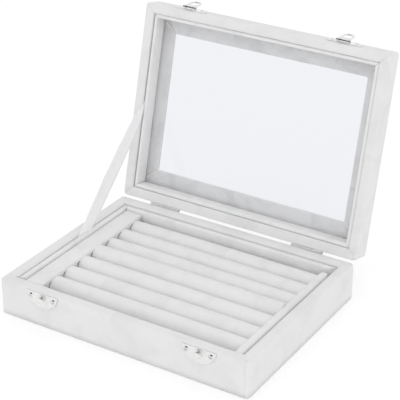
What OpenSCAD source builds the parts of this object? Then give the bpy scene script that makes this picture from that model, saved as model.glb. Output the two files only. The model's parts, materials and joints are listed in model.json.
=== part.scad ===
// Ring display box: a velvet-covered tray of padded ring rolls under a hinged lid with a glass window.
// The lid is drawn open, as far as its ribbon stay lets it turn, with both latch tongues flipped back.
// The origin is the middle of the base's underside. X runs to the right, Y to the hinges and Z up.
// Lid pieces are drawn shut and turned about the hinges, so sizes on the lid are those of the shut box.

/* [Case] */
// Outside width of the case
case_w = 200; // [180:1:230]
// Outside depth of the case, without its metal fittings
case_d = 150; // [145:1:180]
// Height of the base, from the table to its rim
base_h = 28; // [27.5:0.5:34]
// Height of the lid, from its rim to its top
lid_h = 17; // [15:0.5:24]
// Space between the two rims when the lid is shut
rim_gap = 0.4; // [0.3:0.1:1]
// Radius of the upright corners
corner_r = 2.5; // [2:0.1:4]
// Radius of the rounded rims
rim_r = 1.4; // [1.2:0.1:1.8]

/* [Boards and velvet] */
// Thickness of the base's wall boards
base_board_t = 7; // [6:0.25:8]
// Thickness of the lid's wall boards
lid_board_t = 6; // [5.2:0.2:7]
// Thickness of the velvet on the walls
nap_t = 0.75; // [0.6:0.05:1]
// Thickness of the cover glued under the base
bottom_t = 0.8; // [0.6:0.1:1.5]
// Distance of that cover's edge from the outside of the case
bottom_inset = 0.6; // [0:0.1:2]
// Thickness of the floor board
floor_t = 3.5; // [2.5:0.1:4]
// Thickness of the velvet-covered board that carries the rolls
pad_t = 3.4; // [2.5:0.1:4]
// Play between the board that carries the rolls and the walls
pad_play = 0.2; // [0.1:0.05:0.5]

/* [Liners and rails] */
// Thickness of the base's liner strips
liner_t = 3.1; // [2.6:0.1:3.6]
// How far the left and back liners stand below the base's rim
liner_drop = 1.5; // [1:0.1:3]
// How far the front and right liners stand below the base's rim
low_liner_drop = 5.5; // [3.6:0.1:9]
// Radius of the liners' rounded tops
liner_r = 1.2; // [0.6:0.1:1.25]
// Gap between the left wall and its liner, where the ribbon stay is tucked in
stay_gap = 1; // [0.8:0.1:1.6]
// Gap between the back wall and its liner
back_gap = 1.6; // [0.6:0.1:2]
// Width of the left rail
rail_left_w = 12.6; // [8:0.2:16]
// Gap between the left liner and the left rail
rail_left_gap = 1; // [0.4:0.1:2]
// Width of the right rail
rail_right_w = 6; // [5.6:0.2:10]
// Gap between the right liner and the right rail
rail_right_gap = 0.2; // [0.2:0.1:1]
// How far the rails' tops lie below the base's rim
rail_drop = 3.2; // [2:0.1:6]
// Radius of the rails' soft top edges
rail_r = 1.2; // [0.6:0.1:2]
// Distance of the right rail's rounded end from the back liner
rail_end_gap = 3.8; // [1:0.1:8]
// Radius of the corners of that end
rail_end_r = 2.7; // [1:0.1:2.7]
// Play at a rail's other ends
rail_play = 0.2; // [0.1:0.05:0.5]

/* [Ring rolls] */
// Width of the open slot in front of the first roll, which the rolls leave when they fill the tray
front_slot_w = 8.1; // [6:0.1:12]
// How much larger the middle roll's radius is than that of the three in front of it
roll_middle_more = 0.5; // [0:0.1:0.8]
// How much smaller the rear three rolls' radius is than that of the front three
roll_rear_less = 0.5; // [0:0.1:0.8]
// How much a roll's radius shrinks from its middle to its ends
roll_taper = 0.4; // [0.2:0.1:1.2]
// Radius of a roll's rounded ends
roll_end_r = 1.25; // [1:0.25:4]
// Thickness of a roll's velvet cover
roll_cover_t = 0.8; // [0.5:0.1:1.2]
// Radius of the round at a roll's end that the tucked velvet leaves open
roll_tuck_r = 3; // [1:0.25:3.5]
// Play between a roll's cover and its foam core
core_play = 0.1; // [0.05:0.05:0.3]
// How far a roll is pressed flat on its board
roll_flat = 0.3; // [0.1:0.1:0.8]
// Play between two rolls
roll_play = 0.1; // [0.05:0.05:0.3]
// Play between a roll and the rails at its ends
roll_end_play = 0.3; // [0.2:0.1:1]
// Distance of the rear roll from the back liner
roll_back_play = 0.9; // [0.3:0.1:2]

/* [Lid] */
// Angle to which the ribbon stay lets the lid open
lid_open = 103.7; // [95:0.1:110]
// Thickness of the glass
glass_t = 2; // [1.5:0.1:3]
// Play between the glass and the lid's walls
glass_play = 1.5; // [0.5:0.1:2]
// Thickness of the window frame's board
frame_t = 1.6; // [1.2:0.1:2.5]
// Thickness of the velvet on the window frame
frame_nap_t = 0.6; // [0.4:0.05:0.7]
// Width of the frame beside the window
window_side = 19.8; // [14:0.2:30]
// Width of the frame in front of and behind the window
window_end = 21.6; // [14:0.2:30]
// Radius of the window's corners
window_r = 3; // [1:0.5:6]
// Thickness of the lid's liner strips
lid_liner_t = 3; // [2.6:0.1:4]
// How far the lid's liners stand inside its rim
lid_liner_drop = 1.5; // [1:0.1:3]
// Gap between the lid's left wall and its liner, where the ribbon stay is tucked in
lid_stay_gap = 0.8; // [0.7:0.05:1]

/* [Ribbon stay] */
// Width of the ribbon
stay_w = 12; // [8:0.5:16]
// Thickness of the ribbon
stay_t = 0.4; // [0.3:0.05:0.45]
// Distance of its base end in front of the hinge axis
stay_base_from_hinge = 61.8; // [50:0.5:75]
// Distance of its lid end in front of the hinge axis, on the shut lid
stay_lid_from_hinge = 72.3; // [60:0.5:80]
// Length tucked into the base
stay_base_tuck = 14; // [8:0.5:15]
// Length tucked into the lid
stay_lid_tuck = 9; // [5:0.5:10]

/* [Hinges] */
// Distance of each hinge's middle from the end of the case
hinge_inset = 39; // [30:0.5:55]
// Length of a hinge
hinge_len = 25; // [20:0.5:32]
// Distance of the hinge axis behind the case
hinge_back = 0.8; // [0.8:0.05:1.2]
// Radius of the hinge's barrel
barrel_r = 1; // [0.9:0.05:1]
// Radius of the hinge's pin
pin_r = 0.5; // [0.4:0.05:0.6]
// Radial running clearance of every pin
pin_play = 0.05; // [0.02:0.01:0.1]
// Thickness of every pin's head
pin_head_t = 0.3; // [0.2:0.05:0.5]
// Thickness of a hinge leaf
leaf_t = 0.8; // [0.6:0.05:0.8]
// Height of a hinge leaf, from the hinge axis
leaf_h = 9; // [8:0.25:12]
// Distance of a leaf's screws from the hinge axis
leaf_screw_h = 5.5; // [5:0.1:6]
// Distance of a leaf's screws from the middle of the hinge
leaf_screw_x = 8; // [6:0.25:9]
// Length of the lid's knuckle in the middle of a hinge
hinge_mid = 8.4; // [6:0.1:12]
// Gap beside and around each knuckle
knuckle_gap = 0.3; // [0.2:0.05:0.4]

/* [Catches and latches] */
// Distance of each latch's middle from the end of the case
latch_inset = 37; // [25:0.5:55]
// Width of a half-moon plate
plate_w = 26.5; // [25:0.5:30]
// Height of a half-moon plate
plate_h = 11.5; // [9.5:0.25:12.5]
// Thickness of a plate
plate_t = 0.8; // [0.6:0.05:0.9]
// Distance of the catch plate's straight edge below the base's rim
catch_drop = 1; // [0.5:0.1:2]
// Distance of a plate's screws from its straight edge
plate_screw_h = 3.3; // [3:0.1:4.5]
// Distance of a plate's screws from its middle
plate_screw_x = 9.5; // [8.5:0.1:10]
// Distance of the catch's knob below the plate's straight edge
knob_drop = 4.2; // [4:0.1:5]
// Radius of the raised round that the knob stands on
boss_r = 3.8; // [3.2:0.1:4.2]
// Height of that round above the plate
boss_h = 0.4; // [0.2:0.1:0.5]
// Radius of the knob's head
knob_r = 2.5; // [2.2:0.1:3]
// Radius of the knob's neck
knob_neck_r = 1.9; // [1.6:0.1:2]
// How far the knob stands out of its plate
knob_out = 2.6; // [2.4:0.1:3.2]
// Thickness of the knob's head
knob_head_t = 1; // [0.6:0.1:1.2]
// Height of the latch's axis above the lid's rim, when shut
latch_rise = 1.7; // [1.7:0.1:2.2]
// Distance of the latch's axis in front of the lid
latch_out = 2; // [2:0.05:2.4]
// Radius of the latch's barrel
latch_barrel_r = 1.5; // [1.2:0.05:1.5]
// Length of the latch's barrel
latch_barrel_len = 10; // [9:0.25:15]
// Length of the tongue's knuckle in the middle of the barrel
latch_mid = 5; // [4:0.25:7]
// Radius of the latch's pin
latch_pin_r = 0.6; // [0.5:0.05:0.7]
// Thickness of the tongue
tongue_t = 0.7; // [0.5:0.05:0.8]
// Radial play between the tongue's round hole and the knob
tongue_play = 0.8; // [0.4:0.05:1]
// Width of the ring of metal around that hole
tongue_ring = 1.5; // [1.4:0.1:2.6]
// Angle of the tongue from shut to flipped back
tongue_open = 155; // [120:1:158]
// Width of the bent lip at the tongue's end
lip_w = 5; // [3:0.25:7]
// Length of that lip
lip_len = 2; // [1:0.25:3]
// Angle at which that lip is bent outwards
lip_bend = 35; // [10:5:60]

/* [Screws] */
// Radius of the plates' domed screw heads
screw_head_r = 2.1; // [1.6:0.1:2.3]
// Height of those heads
screw_head_h = 0.9; // [0.6:0.1:1.2]
// Radius of the hinges' domed screw heads
small_head_r = 1.6; // [1.2:0.1:1.8]
// Height of those heads
small_head_h = 0.6; // [0.4:0.1:0.8]
// Radius of every screw's shank
shank_r = 0.8; // [0.6:0.05:1]
// Length of every screw's shank
shank_len = 5; // [3:0.25:5.5]
// Play around a shank
shank_play = 0.05; // [0.02:0.01:0.1]
// Width of the cross cut in a screw head
slot_w = 0.5; // [0.3:0.05:0.7]
// How far that cross reaches from the middle, as a share of the head's radius
slot_reach = 0.6; // [0.4:0.05:0.8]

/* [Hidden] */

$fn = 48;
velvet = "whitesmoke";
board = "burlywood";
foam = "lightyellow";
metal = "silver";
satin = "white";

// How far a cutting shape runs past what it cuts
cut = 1;
// How far a screw's shank runs into its head
shank_root = 0.15;

base_wall = base_board_t + 2 * nap_t;
lid_wall = lid_board_t + 2 * nap_t;
board_rim_r = rim_r - nap_t;
board_corner_r = corner_r - nap_t;

floor_top = bottom_t + floor_t;
pad_top = floor_top + pad_t;
inner_w = case_w - 2 * base_wall;
inner_d = case_d - 2 * base_wall;
rail_top = base_h - rail_drop;

front_liner_face = -inner_d / 2 + liner_t;
back_liner_face = inner_d / 2 - back_gap - liner_t;
left_rail_x0 = -inner_w / 2 + stay_gap + liner_t + rail_left_gap;
left_rail_x1 = left_rail_x0 + rail_left_w;
right_rail_x1 = inner_w / 2 - liner_t - rail_right_gap;
right_rail_x0 = right_rail_x1 - rail_right_w;

// Rolls in front of the middle one and behind it
front_rolls = 3;
rear_rolls = 3;
roll_count = front_rolls + 1 + rear_rolls;
// The front rolls' radius at mid length, with which all the rolls fill the tray behind the open slot
rolls_depth = back_liner_face - roll_back_play - front_liner_face - front_slot_w;
rolls_extra = 2 * roll_middle_more - 2 * rear_rolls * roll_rear_less;
roll_front_r = (rolls_depth - (roll_count - 1) * roll_play - rolls_extra) / (2 * roll_count);
// Radii of the rolls from the front to the back
roll_radii = concat(
    [for (i = [1:front_rolls]) roll_front_r],
    [roll_front_r + roll_middle_more],
    [for (i = [1:rear_rolls]) roll_front_r - roll_rear_less]
);
roll_len = right_rail_x0 - left_rail_x1 - 2 * roll_end_play;
roll_mid_x = (left_rail_x1 + right_rail_x0) / 2;
roll_bands = 8;
// Distance between the middles of two neighbours that stand on one board
function roll_step(a, b) = sqrt(pow(a + b + roll_play, 2) - pow(a - b, 2));
// Middle of roll i, counted from 0 at the front
function roll_y(i) = i == roll_count - 1
    ? back_liner_face - roll_back_play - roll_radii[i]
    : roll_y(i + 1) - roll_step(roll_radii[i], roll_radii[i + 1]);

lid_z = base_h + rim_gap;
frame_v = lid_h - frame_nap_t - frame_t;
glass_v = frame_v - glass_t;
lid_inner_w = case_w - 2 * lid_wall;
lid_inner_d = case_d - 2 * lid_wall;
window_w = case_w - 2 * window_side;
window_d = case_d - 2 * window_end;

hinge_x = case_w / 2 - hinge_inset;
hinge_y = case_d / 2 + hinge_back;
hinge_z = base_h + rim_gap / 2;
hinge_side = (hinge_len - hinge_mid) / 2 - knuckle_gap;

plate_r = (pow(plate_w / 2, 2) + pow(plate_h, 2)) / (2 * plate_h);
latch_x = case_w / 2 - latch_inset;
front_y = -case_d / 2;
catch_z = base_h - catch_drop;
knob_z = catch_z - knob_drop;
latch_y = front_y - latch_out;
latch_z = lid_z + latch_rise;
latch_side = (latch_barrel_len - latch_mid) / 2 - knuckle_gap;
tongue_hole_r = knob_r + tongue_play;
tongue_r = tongue_hole_r + tongue_ring;
tongue_reach = latch_z - knob_z;
tongue_shoulder = latch_barrel_r + knuckle_gap;

// The ribbon's two ends, where it leaves the base and where it enters the open lid
stay_base_y = hinge_y - stay_base_from_hinge;
stay_base_z = base_h - liner_drop;
stay_lid_up = lid_z + lid_liner_drop - hinge_z;
stay_lid_y = hinge_y - stay_lid_from_hinge * cos(lid_open) + stay_lid_up * sin(lid_open);
stay_lid_z = hinge_z + stay_lid_from_hinge * sin(lid_open) + stay_lid_up * cos(lid_open);
stay_base_x = -inner_w / 2 + stay_gap / 2;
stay_lid_x = -lid_inner_w / 2 + lid_stay_gap / 2;
stay_free = norm([stay_lid_y - stay_base_y, stay_lid_z - stay_base_z]);
stay_rise = atan2(stay_lid_z - stay_base_z, stay_lid_y - stay_base_y);
stay_drift = atan2(stay_lid_x - stay_base_x, stay_free);

// Turns what is drawn on the shut lid to the open lid
module at_lid() {
    translate([0, hinge_y, hinge_z]) rotate([-lid_open, 0, 0]) translate([0, -hinge_y, -hinge_z]) children();
}

// The corner that a radius r takes off a shape whose corner lies at the origin
module corner_waste(r) {
    difference() {
        translate([-cut, -cut]) square(r + cut);
        translate([r, r]) circle(r);
    }
}

// Rectangle from the origin with its own radius at each corner: near left, near right, far left, far right
module soft_rect(w, h, near_left = 0, near_right = 0, far_left = 0, far_right = 0) {
    difference() {
        square([w, h]);
        if (near_left > 0) corner_waste(near_left);
        if (near_right > 0) translate([w, 0]) mirror([1, 0]) corner_waste(near_right);
        if (far_left > 0) translate([0, h]) mirror([0, 1]) corner_waste(far_left);
        if (far_right > 0) translate([w, h]) rotate(180) corner_waste(far_right);
    }
}

// Rectangle about the origin with one radius at its corners
module rounded_plan(w, d, r) {
    translate([-w / 2, -d / 2]) soft_rect(w, d, r, r, r, r);
}

// A section drawn as (distance in from the outside, height) and run along the front of a w by d rectangle,
// with its ends cut to the corners' mitres
module front_run(w, d, reach, top) {
    intersection() {
        translate([-w / 2, -d / 2, 0]) rotate([90, 0, 90]) linear_extrude(w) children();
        linear_extrude(top) polygon([
            [-w / 2, -d / 2], [w / 2, -d / 2], [w / 2 - reach, reach - d / 2], [reach - w / 2, reach - d / 2]
        ]);
    }
}

// The same along the left
module left_run(w, d, reach, top) {
    intersection() {
        translate([-w / 2, d / 2, 0]) rotate([90, 0, 0]) linear_extrude(d) children();
        linear_extrude(top) polygon([
            [-w / 2, -d / 2], [reach - w / 2, reach - d / 2], [reach - w / 2, d / 2 - reach], [-w / 2, d / 2]
        ]);
    }
}

// The same all the way round
module full_run(w, d, reach, top) {
    front_run(w, d, reach, top) children();
    mirror([0, 1, 0]) front_run(w, d, reach, top) children();
    left_run(w, d, reach, top) children();
    mirror([1, 0, 0]) left_run(w, d, reach, top) children();
}

// A domed screw with a cross in its head, which sits on the plane z = 0 and points down
module screw(head_r, head_h) {
    dome_r = (head_r * head_r + head_h * head_h) / (2 * head_h);
    slot_len = 2 * slot_reach * head_r;
    difference() {
        union() {
            intersection() {
                translate([0, 0, head_h - dome_r]) sphere(dome_r, $fn = 96);
                cylinder(r = head_r, h = head_h);
            }
            translate([0, 0, -shank_len]) cylinder(r = shank_r, h = shank_len + shank_root);
        }
        for (turn = [0, 90]) {
            rotate(turn) translate([-slot_len / 2, -slot_w / 2, head_h / 2]) {
                cube([slot_len, slot_w, head_h]);
            }
        }
    }
}

// The hole that such a screw needs below the plane z = 0
module screw_hole() {
    translate([0, 0, -shank_len - shank_play]) {
        cylinder(r = shank_r + shank_play, h = shank_len + shank_play + cut);
    }
}

// Both places of what comes at the left and at the right
module left_and_right(x) {
    translate([-x, 0, 0]) children();
    translate([x, 0, 0]) children();
}

// Places of one half-moon plate's two screws, on its face at the height given
module at_plate_screws(z) {
    left_and_right(plate_screw_x) translate([0, front_y - plate_t, z]) rotate([90, 0, 0]) children();
}

module at_catch_screws() {
    left_and_right(latch_x) at_plate_screws(catch_z - plate_screw_h) children();
}

module at_latch_screws() {
    left_and_right(latch_x) at_plate_screws(latch_z + plate_screw_h) children();
}

// Places of one hinge leaf's two screws, above (1) or below (-1) the hinge axis
module at_leaf_screws(up) {
    left_and_right(leaf_screw_x) translate([0, case_d / 2 + leaf_t, hinge_z + up * leaf_screw_h]) {
        rotate([-90, 0, 0]) children();
    }
}

module at_hinge_screws(up) {
    left_and_right(hinge_x) at_leaf_screws(up) children();
}

// Base: floor and walls

module base_bottom_cover() {
    inset = 2 * bottom_inset;
    color(velvet) linear_extrude(bottom_t) rounded_plan(case_w - inset, case_d - inset, board_corner_r);
}

module base_floor_board() {
    color(board) translate([-inner_w / 2 - nap_t, -inner_d / 2 - nap_t, bottom_t]) {
        cube([inner_w + 2 * nap_t, inner_d + 2 * nap_t, floor_t]);
    }
}

// Section of a base wall board, down to the height given
module base_board_section(from) {
    translate([nap_t, from]) {
        soft_rect(base_board_t, base_h - nap_t - from, far_left = board_rim_r, far_right = board_rim_r);
    }
}

module base_board_edge() {
    linear_extrude(base_h) rounded_plan(case_w - 2 * nap_t, case_d - 2 * nap_t, board_corner_r);
}

module base_front_board() {
    color(board) difference() {
        intersection() {
            front_run(case_w, case_d, base_wall, base_h) base_board_section(bottom_t);
            base_board_edge();
        }
        at_catch_screws() screw_hole();
    }
}

module base_back_board() {
    color(board) difference() {
        intersection() {
            mirror([0, 1, 0]) front_run(case_w, case_d, base_wall, base_h) base_board_section(bottom_t);
            base_board_edge();
        }
        at_hinge_screws(-1) screw_hole();
    }
}

module base_left_board() {
    color(board) intersection() {
        left_run(case_w, case_d, base_wall, base_h) base_board_section(bottom_t);
        base_board_edge();
    }
}

module base_right_board() {
    color(board) mirror([1, 0, 0]) intersection() {
        left_run(case_w, case_d, base_wall, base_h) base_board_section(bottom_t);
        base_board_edge();
    }
}

// The velvet goes up the outside of the walls, over the rim and down the inside to the floor board
module base_velvet_wrap() {
    color(velvet) difference() {
        intersection() {
            full_run(case_w, case_d, base_wall + cut, base_h + cut) difference() {
                translate([0, bottom_t]) {
                    soft_rect(base_wall, base_h - bottom_t, far_left = rim_r, far_right = rim_r);
                }
                base_board_section(bottom_t - cut);
                translate([nap_t + base_board_t, bottom_t - cut]) square([nap_t + cut, floor_t + cut]);
            }
            linear_extrude(base_h + cut) rounded_plan(case_w, case_d, corner_r);
        }
        at_catch_screws() screw_hole();
        at_hinge_screws(-1) screw_hole();
    }
}

// Base: liners, rails and the board under the rolls

// Section of a liner strip, standing on the board under the rolls
module liner_section(gap, drop) {
    translate([gap, pad_top]) {
        soft_rect(liner_t, base_h - drop - pad_top, far_left = liner_r, far_right = liner_r);
    }
}

module base_liner_front() {
    color(velvet) front_run(inner_w, inner_d, liner_t, base_h) liner_section(0, low_liner_drop);
}

module base_liner_back() {
    color(velvet) mirror([0, 1, 0]) {
        front_run(inner_w, inner_d, back_gap + liner_t, base_h) liner_section(back_gap, liner_drop);
    }
}

module base_liner_left() {
    color(velvet) left_run(inner_w, inner_d, stay_gap + liner_t, base_h) liner_section(stay_gap, liner_drop);
}

module base_liner_right() {
    color(velvet) mirror([1, 0, 0]) {
        left_run(inner_w, inner_d, liner_t, base_h) liner_section(0, low_liner_drop);
    }
}

module roll_pad_board() {
    pad_w = inner_w - 2 * pad_play;
    pad_d = inner_d - 2 * pad_play;
    color(velvet) translate([-pad_w / 2, -pad_d / 2, floor_top]) cube([pad_w, pad_d, pad_t]);
}

// A rail from x0 to x1 and y0 to y1, with soft top edges and the plan's far corners rounded by end_r
module rail(x0, x1, y0, y1, end_r) {
    w = x1 - x0;
    translate([x0, 0, 0]) intersection() {
        translate([0, y1, pad_top]) rotate([90, 0, 0]) linear_extrude(y1 - y0) {
            soft_rect(w, rail_top - pad_top, far_left = rail_r, far_right = rail_r);
        }
        translate([0, y0, 0]) linear_extrude(rail_top + cut) {
            soft_rect(w, y1 - y0, far_left = end_r, far_right = end_r);
        }
    }
}

module tray_rail_left() {
    color(velvet) {
        rail(left_rail_x0, left_rail_x1, front_liner_face + rail_play, back_liner_face - rail_play, 0);
    }
}

module tray_rail_right() {
    front_end = front_liner_face + rail_play;
    back_end = back_liner_face - rail_end_gap;
    color(velvet) rail(right_rail_x0, right_rail_x1, front_end, back_end, rail_end_r);
}

// Ring rolls

// Half outline of a padded roll about its own axis: it swells to mid length and its ends are rounded
module roll_outline(r, length, end_r) {
    half = length / 2 - end_r;
    end_radius = r - roll_taper;
    polygon(concat(
        [[0, -half]],
        [for (k = [0:roll_bands]) let (t = 2 * k / roll_bands - 1) [r - roll_taper * t * t, half * t]],
        [[0, half]]
    ));
    translate([0, -length / 2]) square([end_radius - end_r, length]);
    for (side = [-1, 1]) {
        intersection() {
            translate([end_radius - end_r, side * half]) circle(end_r);
            translate([0, -length / 2]) square([end_radius, length]);
        }
    }
}

// A roll lying along X, shrunk on all sides by inset, and pressed flat where it lies on its board
module roll_body(i, inset) {
    r = roll_radii[i];
    difference() {
        translate([roll_mid_x, roll_y(i), pad_top + r - roll_flat]) rotate([0, 90, 0]) {
            rotate_extrude() roll_outline(r - inset, roll_len - 2 * inset, roll_end_r - inset);
        }
        translate([left_rail_x1, roll_y(i) - r, pad_top + inset - r]) cube([roll_len + 2 * r, 2 * r, r]);
    }
}

module ring_roll(i) {
    r = roll_radii[i];
    color(velvet) difference() {
        roll_body(i, 0);
        roll_body(i, roll_cover_t);
        // The cover is tucked in at both ends and leaves a round of its core open
        translate([left_rail_x1, roll_y(i), pad_top + r - roll_flat]) rotate([0, 90, 0]) {
            cylinder(r = roll_tuck_r, h = right_rail_x0 - left_rail_x1);
        }
    }
}

module roll_core(i) {
    color(foam) roll_body(i, roll_cover_t + core_play);
}

// Ribbon stay, taut between the groove beside the left liner and the groove in the lid

module stay_ribbon() {
    full_len = stay_base_tuck + stay_free + stay_lid_tuck;
    color(satin) translate([stay_base_x, stay_base_y, stay_base_z]) rotate([stay_rise, 0, 0]) {
        rotate(-stay_drift) translate([-stay_t / 2, -stay_base_tuck, -stay_w / 2]) {
            cube([stay_t, full_len, stay_w]);
        }
    }
}

// Hinges

// A cylinder along the hinge axis, at x from the middle of a hinge
module hinge_round(x, length, r) {
    translate([x, hinge_y, hinge_z]) rotate([0, 90, 0]) cylinder(r = r, h = length);
}

// A leaf below the hinge axis: a plate with soft lower corners
module leaf_plate() {
    translate([-hinge_len / 2, case_d / 2 + leaf_t, hinge_z - leaf_h]) rotate([90, 0, 0]) {
        linear_extrude(leaf_t) soft_rect(hinge_len, leaf_h, near_left = leaf_t, near_right = leaf_t);
    }
}

module base_leaf() {
    color(metal) difference() {
        union() {
            leaf_plate();
            hinge_round(-hinge_len / 2, hinge_side, barrel_r);
            hinge_round(hinge_len / 2 - hinge_side, hinge_side, barrel_r);
        }
        hinge_round(-hinge_mid / 2 - knuckle_gap, hinge_mid + 2 * knuckle_gap, barrel_r + knuckle_gap);
        hinge_round(-hinge_len / 2 - cut, hinge_len + 2 * cut, pin_r + pin_play);
        at_leaf_screws(-1) screw_hole();
    }
}

module lid_leaf() {
    side_cut = hinge_side + knuckle_gap;
    color(metal) difference() {
        union() {
            translate([0, 0, 2 * hinge_z]) mirror([0, 0, 1]) leaf_plate();
            hinge_round(-hinge_mid / 2, hinge_mid, barrel_r);
        }
        hinge_round(-hinge_len / 2 - cut, side_cut + cut, barrel_r + knuckle_gap);
        hinge_round(hinge_len / 2 - side_cut, side_cut + cut, barrel_r + knuckle_gap);
        hinge_round(-hinge_len / 2 - cut, hinge_len + 2 * cut, pin_r + pin_play);
        at_leaf_screws(1) screw_hole();
    }
}

module hinge_left_base_leaf() { translate([-hinge_x, 0, 0]) base_leaf(); }
module hinge_right_base_leaf() { translate([hinge_x, 0, 0]) base_leaf(); }
module hinge_left_lid_leaf() { at_lid() translate([-hinge_x, 0, 0]) lid_leaf(); }
module hinge_right_lid_leaf() { at_lid() translate([hinge_x, 0, 0]) lid_leaf(); }

// A pin with a low head beyond each end of the barrel
module hinge_pin() {
    head_r = (pin_r + barrel_r) / 2;
    color(metal) {
        hinge_round(-hinge_len / 2 - pin_head_t, hinge_len + 2 * pin_head_t, pin_r);
        hinge_round(-hinge_len / 2 - pin_head_t - pin_play, pin_head_t, head_r);
        hinge_round(hinge_len / 2 + pin_play, pin_head_t, head_r);
    }
}

module hinge_left_pin() { translate([-hinge_x, 0, 0]) hinge_pin(); }
module hinge_right_pin() { translate([hinge_x, 0, 0]) hinge_pin(); }
module hinge_base_screws() { color(metal) at_hinge_screws(-1) screw(small_head_r, small_head_h); }
module hinge_lid_screws() { color(metal) at_lid() at_hinge_screws(1) screw(small_head_r, small_head_h); }

// Catches on the base

// A half-moon plate below its straight edge, which lies along X at the height given
module half_moon(straight_z) {
    intersection() {
        translate([0, front_y, straight_z + plate_r - plate_h]) rotate([90, 0, 0]) {
            cylinder(r = plate_r, h = plate_t, $fn = 96);
        }
        translate([-plate_w, front_y - plate_t - cut, straight_z - 2 * plate_h]) {
            cube([2 * plate_w, plate_t + 2 * cut, 2 * plate_h]);
        }
    }
}

// The catch: its plate and the knob that the tongue drops over
module catch() {
    color(metal) difference() {
        union() {
            half_moon(catch_z);
            translate([0, front_y - plate_t / 2, knob_z]) rotate([90, 0, 0]) {
                cylinder(r = boss_r, h = plate_t / 2);
                translate([0, 0, plate_t / 2]) cylinder(r1 = boss_r, r2 = boss_r - boss_h, h = boss_h);
                cylinder(r = knob_neck_r, h = plate_t / 2 + knob_out);
                translate([0, 0, plate_t / 2 + knob_out - knob_head_t]) {
                    cylinder(r1 = knob_neck_r, r2 = knob_r, h = knob_head_t / 2);
                }
                translate([0, 0, plate_t / 2 + knob_out - knob_head_t / 2]) {
                    cylinder(r1 = knob_r, r2 = knob_neck_r, h = knob_head_t / 2);
                }
            }
        }
        at_plate_screws(catch_z - plate_screw_h) screw_hole();
    }
}

module catch_left() { translate([-latch_x, 0, 0]) catch(); }
module catch_right() { translate([latch_x, 0, 0]) catch(); }
module catch_screws() { color(metal) at_catch_screws() screw(screw_head_r, screw_head_h); }

// Lid: walls, window frame, velvet, glass and liners

// Section of a lid wall board, from just inside the rim to just under the top
module lid_board_section() {
    translate([nap_t, nap_t]) soft_rect(
        lid_board_t, lid_h - frame_nap_t - nap_t,
        near_left = board_rim_r, near_right = board_rim_r, far_left = board_rim_r
    );
}

module lid_board_edge() {
    linear_extrude(lid_h) rounded_plan(case_w - 2 * nap_t, case_d - 2 * nap_t, board_corner_r);
}

module lid_front_board() {
    color(board) at_lid() difference() {
        translate([0, 0, lid_z]) intersection() {
            front_run(case_w, case_d, lid_wall, lid_h) lid_board_section();
            lid_board_edge();
        }
        at_latch_screws() screw_hole();
    }
}

module lid_back_board() {
    color(board) at_lid() difference() {
        translate([0, 0, lid_z]) intersection() {
            mirror([0, 1, 0]) front_run(case_w, case_d, lid_wall, lid_h) lid_board_section();
            lid_board_edge();
        }
        at_hinge_screws(1) screw_hole();
    }
}

module lid_left_board() {
    color(board) at_lid() translate([0, 0, lid_z]) intersection() {
        left_run(case_w, case_d, lid_wall, lid_h) lid_board_section();
        lid_board_edge();
    }
}

module lid_right_board() {
    color(board) at_lid() translate([0, 0, lid_z]) mirror([1, 0, 0]) intersection() {
        left_run(case_w, case_d, lid_wall, lid_h) lid_board_section();
        lid_board_edge();
    }
}

module lid_window_frame() {
    color(velvet) at_lid() translate([0, 0, lid_z + frame_v]) linear_extrude(frame_t) difference() {
        square([lid_inner_w + 2 * nap_t, lid_inner_d + 2 * nap_t], center = true);
        rounded_plan(window_w + 2 * frame_nap_t, window_d + 2 * frame_nap_t, window_r + frame_nap_t);
    }
}

// The velvet covers the walls inside and out and the top, and turns in round the window
module lid_velvet_wrap() {
    overlap_w = lid_inner_w + nap_t;
    overlap_d = lid_inner_d + nap_t;
    color(velvet) at_lid() difference() {
        translate([0, 0, lid_z]) {
            intersection() {
                full_run(case_w, case_d, lid_wall + cut, lid_h + cut) difference() {
                    soft_rect(lid_wall, lid_h, near_left = rim_r, near_right = rim_r, far_left = rim_r);
                    lid_board_section();
                    translate([nap_t + lid_board_t, frame_v]) square([nap_t + cut, frame_t]);
                }
                linear_extrude(lid_h + cut) rounded_plan(case_w, case_d, corner_r);
            }
            translate([0, 0, lid_h - frame_nap_t]) linear_extrude(frame_nap_t) difference() {
                square([overlap_w, overlap_d], center = true);
                rounded_plan(window_w, window_d, window_r);
            }
            translate([0, 0, frame_v]) linear_extrude(frame_t + frame_nap_t) difference() {
                rounded_plan(window_w + 2 * frame_nap_t, window_d + 2 * frame_nap_t, window_r + frame_nap_t);
                rounded_plan(window_w, window_d, window_r);
            }
        }
        at_latch_screws() screw_hole();
        at_hinge_screws(1) screw_hole();
    }
}

module lid_glass() {
    glass_w = lid_inner_w - 2 * glass_play;
    glass_d = lid_inner_d - 2 * glass_play;
    color("lightblue", 0.4) at_lid() translate([-glass_w / 2, -glass_d / 2, lid_z + glass_v]) {
        cube([glass_w, glass_d, glass_t]);
    }
}

// Section of a lid liner, from just inside the rim to the glass
module lid_liner_section(gap) {
    translate([gap, lid_liner_drop]) soft_rect(
        lid_liner_t - gap, glass_v - lid_liner_drop,
        near_left = liner_r * (lid_liner_t - gap) / lid_liner_t,
        near_right = liner_r * (lid_liner_t - gap) / lid_liner_t
    );
}

module lid_liner_front() {
    color(velvet) at_lid() translate([0, 0, lid_z]) {
        front_run(lid_inner_w, lid_inner_d, lid_liner_t, lid_h) lid_liner_section(0);
    }
}

module lid_liner_back() {
    color(velvet) at_lid() translate([0, 0, lid_z]) mirror([0, 1, 0]) {
        front_run(lid_inner_w, lid_inner_d, lid_liner_t, lid_h) lid_liner_section(0);
    }
}

module lid_liner_left() {
    color(velvet) at_lid() translate([0, 0, lid_z]) {
        left_run(lid_inner_w, lid_inner_d, lid_liner_t, lid_h) lid_liner_section(lid_stay_gap);
    }
}

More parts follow.
